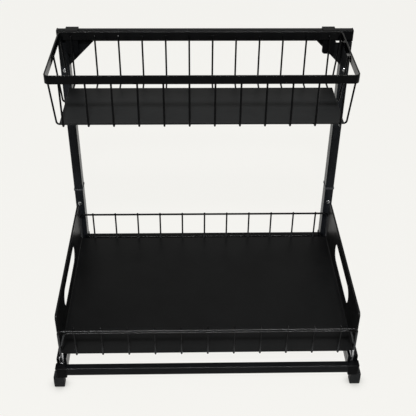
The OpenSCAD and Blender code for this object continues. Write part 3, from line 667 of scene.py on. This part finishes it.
def build_slide_tabs():
    """Bright bent tab with a spring arm, before a dark end stop, on each sliding member."""
    for side, (tab_x, lean, arm_top, arm_low) in SLIDE_TABS.items():
        node = "slide_inner_" + side
        lo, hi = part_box(node)
        rail_lo, rail_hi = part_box("slide_outer_" + side)
        mid, base = (rail_lo.x + rail_hi.x) / 2, rail_lo.z
        clear = rail_lo.y - 0.1 * MM
        face = clear - STOP_T
        out = face - TAB_T

        tab_line = [(mid + (tab_x - lean * k / 2) * MM, base + h * MM) for k, h in TAB_LINE]
        arm_line = [(mid + x * MM, base + h * MM) for x, h in (arm_low, arm_top)]
        bm = bmesh.new()
        add_strip(bm, tab_line, TAB_W, out, face)
        add_strip(bm, arm_line, ARM_W, out + 0.15 * MM, face)
        foot = sorted((tab_line[0][0], arm_line[0][0]))
        add_block(bm, (foot[0] - 0.4 * MM, out + 0.3 * MM, base + 0.8 * MM),
                  (foot[1], face, base + 1.3 * MM))
        tab = new_piece(node + "_tab", bm, ZINC, "drawer")
        round_edges(tab, 0.18 * MM)

        # plate before the slide's end, with a shelf over the fixed member that reaches back
        back = lo.y + 0.1 * MM
        foot_z, shelf, top = lo.z - 0.4 * MM, rail_hi.z + 0.15 * MM, hi.z - 0.1 * MM
        outline = [(face, foot_z), (clear, foot_z), (clear, shelf),
                   (back, shelf), (back, top), (face, top)]
        bm = bmesh.new()
        add_profile(bm, outline, lo.x - 0.1 * MM, hi.x + 0.1 * MM)
        stop = new_piece(node + "_stop", bm, BLACK_PLASTIC, "drawer")
        round_edges(stop, 0.12 * MM)


RIBS = ((6.0, 19.0), (12.5, 12.5), (19.0, 6.0))  # in mm: distance from the upright, depth
RIB_HALF = 0.6 * MM
CORNER_LEG = (13 + 2.2) * MM  # upright and leg, from the bar's end to the gusset


def build_gusset_ribs():
    """Moulded ribs inside the hollow corner gussets, open to the back."""
    bar_lo, bar_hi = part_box("top_crossbar")
    inner_x = bar_hi.x - CORNER_LEG
    top = bar_lo.z - 3.4 * MM
    y0, y1 = bar_lo.y + 2.1 * MM, bar_hi.y - 0.6 * MM
    for name, sx in (("top_corner_left", -1), ("top_corner_right", 1)):
        bm = bmesh.new()
        for off, deep in RIBS:
            x = sx * (inner_x - off * MM)
            add_block(bm, (x - RIB_HALF, y0, top - deep * MM), (x + RIB_HALF, y1, top))
        rib = new_piece(name + "_ribs", bm, BLACK_PLASTIC, "frame")
        round_edges(rib, 0.2 * MM)


build_screws()
build_hook("hook_left")
build_hook("hook_right")
build_welds()
build_wire_tips()
build_slide_tabs()
build_gusset_ribs()


# ---------------------------------------------------------------- camera

# Solved from points measured in the photo, which is 416 px wide
PITCH, YAW, ROLL = 35.87, 1.62, 0.6
CAMERA_AT = (-0.0221, -0.8533, 0.8086)
FOCAL_PX, PHOTO_PX, SENSOR_MM = 759.0, 416.0, 36.0


def photo_camera():
    pitch, yaw, roll = (math.radians(a) for a in (PITCH, YAW, ROLL))
    level = math.cos(pitch)
    look = Vector((math.sin(yaw) * level, math.cos(yaw) * level, -math.sin(pitch)))
    flat_right = look.cross(Vector((0, 0, 1))).normalized()
    flat_up = flat_right.cross(look)
    right = math.cos(roll) * flat_right + math.sin(roll) * flat_up
    up = -math.sin(roll) * flat_right + math.cos(roll) * flat_up
    cam = bpy.data.cameras.new("camera")
    cam.sensor_width = SENSOR_MM
    cam.lens = FOCAL_PX / PHOTO_PX * SENSOR_MM
    cam.clip_end = 50.0
    obj = bpy.data.objects.new("camera", cam)
    rows = [(right[i], up[i], -look[i], CAMERA_AT[i]) for i in range(3)]
    obj.matrix_world = Matrix(rows + [(0, 0, 0, 1)])
    bpy.context.collection.objects.link(obj)
    bpy.context.scene.camera = obj


photo_camera()


# ---------------------------------------------------------------- light and floor

PALE = (0.905, 0.897, 0.864)
FLOOR = (0.912, 0.904, 0.871)
FILL = 0.22  # strength of the backdrop's light on matt surfaces
FLOOR_GLOW = 0.965  # share of the floor's glow where it is seen directly
CONTACT_SHADOW_REACH = 0.02  # reach of the painted contact shadow where something stands on the floor


def seen_factor(tree):
    """1 for rays that show the background directly, in gloss or through glass."""
    path = tree.nodes.new("ShaderNodeLightPath")
    total = path.outputs["Is Camera Ray"]
    for key in ("Is Glossy Ray", "Is Transmission Ray"):
        total = math_node(tree, "MAXIMUM", total, path.outputs[key])
    return total


def build_world():
    world = bpy.data.worlds.new("studio")
    bpy.context.scene.world = world
    world.use_nodes = True
    tree = world.node_tree
    tree.nodes.clear()
    out = tree.nodes.new("ShaderNodeOutputWorld")
    fill = tree.nodes.new("ShaderNodeBackground")
    fill.inputs["Color"].default_value = (1, 1, 1, 1)
    fill.inputs["Strength"].default_value = FILL
    pale = tree.nodes.new("ShaderNodeBackground")
    pale.inputs["Color"].default_value = (*PALE, 1)
    pale.inputs["Strength"].default_value = 1.0
    mix = tree.nodes.new("ShaderNodeMixShader")
    link(tree, seen_factor(tree), mix.inputs["Fac"])
    link(tree, fill.outputs[0], mix.inputs[1])
    link(tree, pale.outputs[0], mix.inputs[2])
    link(tree, mix.outputs[0], out.inputs["Surface"])


def build_floor():
    mesh = bpy.data.meshes.new("floor")
    bm = bmesh.new()
    bmesh.ops.create_grid(bm, x_segments=8, y_segments=8, size=6.0)
    bm.to_mesh(mesh)
    bm.free()
    obj = bpy.data.objects.new("floor", mesh)
    obj.location.z = -0.0002
    bpy.context.collection.objects.link(obj)
    mat = bpy.data.materials.new("floor")
    mat.use_nodes = True
    tree = mat.node_tree
    tree.nodes.clear()
    out = tree.nodes.new("ShaderNodeOutputMaterial")
    diffuse = tree.nodes.new("ShaderNodeBsdfDiffuse")
    diffuse.inputs["Color"].default_value = (*FLOOR, 1)
    glow = tree.nodes.new("ShaderNodeEmission")
    glow.inputs["Color"].default_value = (*FLOOR, 1)
    painted_contact_shadow = tree.nodes.new("ShaderNodeAmbientOcclusion")
    painted_contact_shadow.inputs["Distance"].default_value = CONTACT_SHADOW_REACH
    painted_contact_shadow.samples = 12
    # painted contact shadow: the floor's glow dims where ambient occlusion finds something near
    link(tree, remap(tree, painted_contact_shadow.outputs["AO"], 0.0, 0.9, 0.25, 1.0), glow.inputs["Strength"])
    share = tree.nodes.new("ShaderNodeMath")
    share.operation = "MULTIPLY"
    share.inputs[1].default_value = FLOOR_GLOW
    link(tree, seen_factor(tree), share.inputs[0])
    mix = tree.nodes.new("ShaderNodeMixShader")
    link(tree, share.outputs[0], mix.inputs["Fac"])
    link(tree, diffuse.outputs[0], mix.inputs[1])
    link(tree, glow.outputs[0], mix.inputs[2])
    link(tree, mix.outputs[0], out.inputs["Surface"])
    mesh.materials.append(mat)


def area_light(name, size, power, at, towards, shade=True, gloss=True):
    """Soft light; it can leave out matt shading or gloss."""
    data = bpy.data.lights.new(name, "AREA")
    data.shape = "RECTANGLE"
    data.size, data.size_y = size
    data.energy = power
    obj = bpy.data.objects.new(name, data)
    obj.location = at
    obj.rotation_euler = (Vector(towards) - Vector(at)).to_track_quat("-Z", "Y").to_euler()
    obj.visible_diffuse = shade
    obj.visible_glossy = gloss
    bpy.context.collection.objects.link(obj)


build_world()
build_floor()
# a small key for crisp shading, and a long strip beside it for even highlights on tubes and wires
area_light("softbox_key", (0.24, 0.18), 40.0, (-0.05, -1.35, 1.95), (0, 0, 0.15), gloss=False)
area_light("strip_key", (1.8, 0.16), 190.0, (0.0, -1.35, 1.95), (0, 0, 0.15), shade=False)
area_light("softbox_top", (1.6, 1.2), 6.0, (0.0, 0.1, 2.2), (0, 0, 0.1))
area_light("softbox_left", (0.8, 1.2), 4.0, (-1.8, -0.6, 1.0), (0, 0, 0.2))
area_light("softbox_right", (0.8, 1.2), 4.0, (1.8, -0.6, 1.0), (0, 0, 0.2))

scene = bpy.context.scene
scene.view_settings.view_transform = "Standard"
